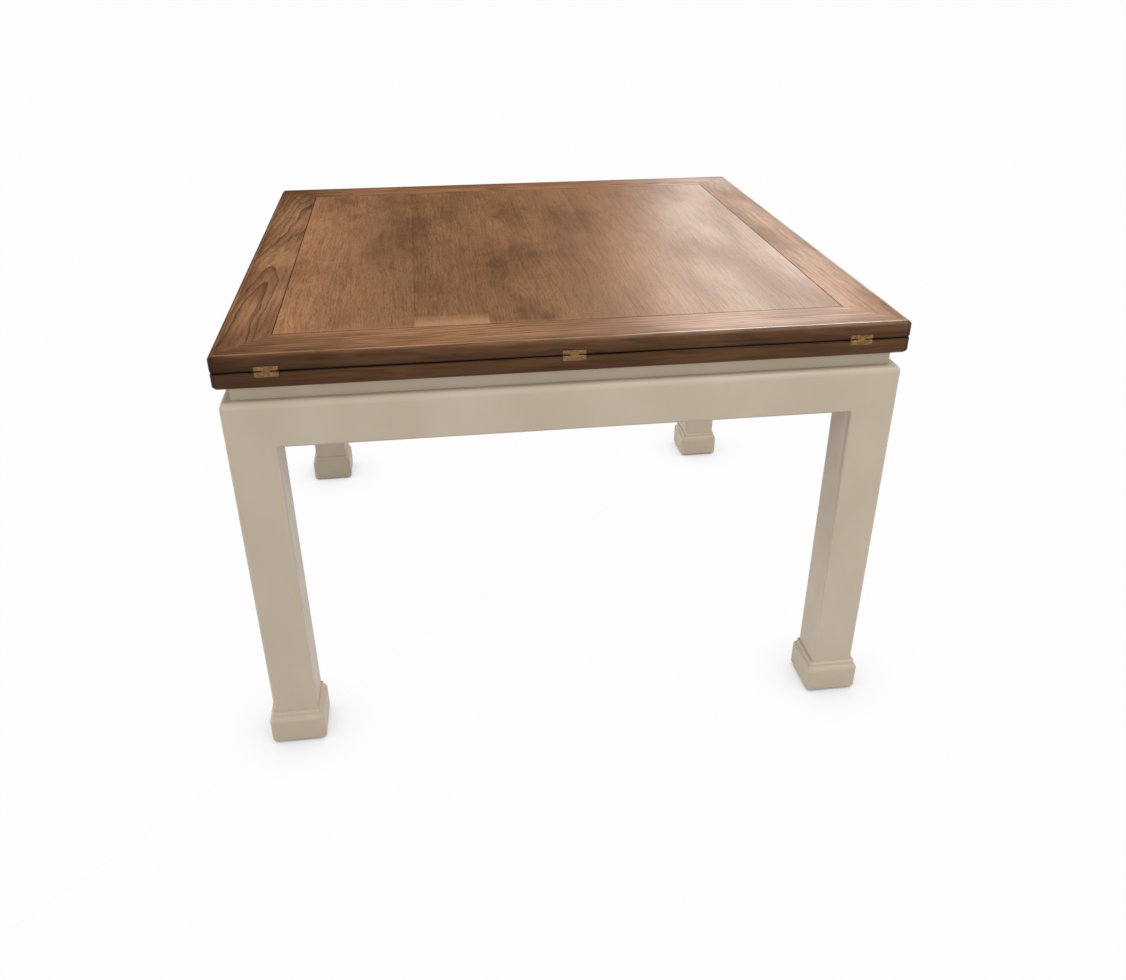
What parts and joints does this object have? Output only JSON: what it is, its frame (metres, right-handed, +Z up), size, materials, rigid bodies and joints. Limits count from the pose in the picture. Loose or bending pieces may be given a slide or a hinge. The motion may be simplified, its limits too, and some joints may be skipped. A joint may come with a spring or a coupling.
{
  "type": "flip-top game table",
  "caption": "Square game table with painted legs and stepped feet, and a hinged double wood top that swivels and unfolds to twice its size.",
  "frame": {"origin": "on the floor, under the middle of the closed table", "axes": "+Z up; -Y towards the side with the hinges, which is the front; +X to the right seen from the front"},
  "size_m": [1.079, 1.079, 0.73],
  "materials": {
    "taupe_paint": "satin taupe paint",
    "rail_walnut": "satin stained walnut",
    "panel_walnut": "satin walnut veneer",
    "raw_poplar": "unfinished poplar",
    "aged_brass": "dull aged brass",
    "zinc_steel": "zinc plated",
    "black_nylon": "moulded"
  },
  "bodies": {
    "base": {"leg_front_left": "taupe_paint", "leg_front_right": "taupe_paint", "leg_back_left": "taupe_paint", "leg_back_right": "taupe_paint", "foot_front_left": "taupe_paint", "foot_front_right": "taupe_paint", "foot_back_left": "taupe_paint", "foot_back_right": "taupe_paint", "apron_front": "taupe_paint", "apron_right": "taupe_paint", "apron_back": "taupe_paint", "apron_left": "taupe_paint", "waist_front": "taupe_paint", "waist_right": "taupe_paint", "waist_back": "taupe_paint", "waist_left": "taupe_paint", "glide_front_left": "black_nylon", "glide_front_right": "black_nylon", "glide_back_left": "black_nylon", "glide_back_right": "black_nylon", "corner_block_front_left": "raw_poplar", "corner_block_front_right": "raw_poplar", "corner_block_back_left": "raw_poplar", "corner_block_back_right": "raw_poplar", "pivot_rail": "raw_poplar", "pivot_bush": "aged_brass"},
    "lower_leaf": {"stop_peg": "raw_poplar", "lower_rail_front": "rail_walnut", "lower_rail_right": "rail_walnut", "lower_rail_back": "rail_walnut", "lower_rail_left": "rail_walnut", "lower_panel": "panel_walnut", "pivot_flange": "zinc_steel", "pivot_stud": "zinc_steel", "pivot_washer": "zinc_steel", "pivot_nut": "zinc_steel", "pivot_screw_1": "zinc_steel", "pivot_screw_2": "zinc_steel", "pivot_screw_3": "zinc_steel", "hinge_lower_plate_left": "aged_brass", "hinge_lower_plate_middle": "aged_brass", "hinge_lower_plate_right": "aged_brass", "hinge_lower_pin_left": "aged_brass", "hinge_lower_pin_middle": "aged_brass", "hinge_lower_pin_right": "aged_brass"},
    "hinge_links": {"hinge_link_left": "aged_brass", "hinge_link_middle": "aged_brass", "hinge_link_right": "aged_brass"},
    "upper_leaf": {"upper_rail_front": "rail_walnut", "upper_rail_right": "rail_walnut", "upper_rail_back": "rail_walnut", "upper_rail_left": "rail_walnut", "upper_panel": "panel_walnut", "hinge_upper_plate_left": "aged_brass", "hinge_upper_plate_middle": "aged_brass", "hinge_upper_plate_right": "aged_brass", "hinge_upper_pin_left": "aged_brass", "hinge_upper_pin_middle": "aged_brass", "hinge_upper_pin_right": "aged_brass"}
  },
  "joints": [
    {"name": "top_swivel", "type": "hinge", "parent": "base", "child": "lower_leaf", "pos_m": [-0.26675, -0.26675, 0.6774], "axis": [0, 0, 1], "range_deg": [0, 90]},
    {"name": "link_fold", "type": "hinge", "parent": "lower_leaf", "child": "hinge_links", "pos_m": [0, -0.5305, 0.7004], "axis": [1, 0, 0], "range_deg": [0, 90]},
    {"name": "leaf_flip", "type": "hinge", "parent": "hinge_links", "child": "upper_leaf", "pos_m": [0, -0.5305, 0.707], "axis": [1, 0, 0], "range_deg": [0, 90]}
  ]
}
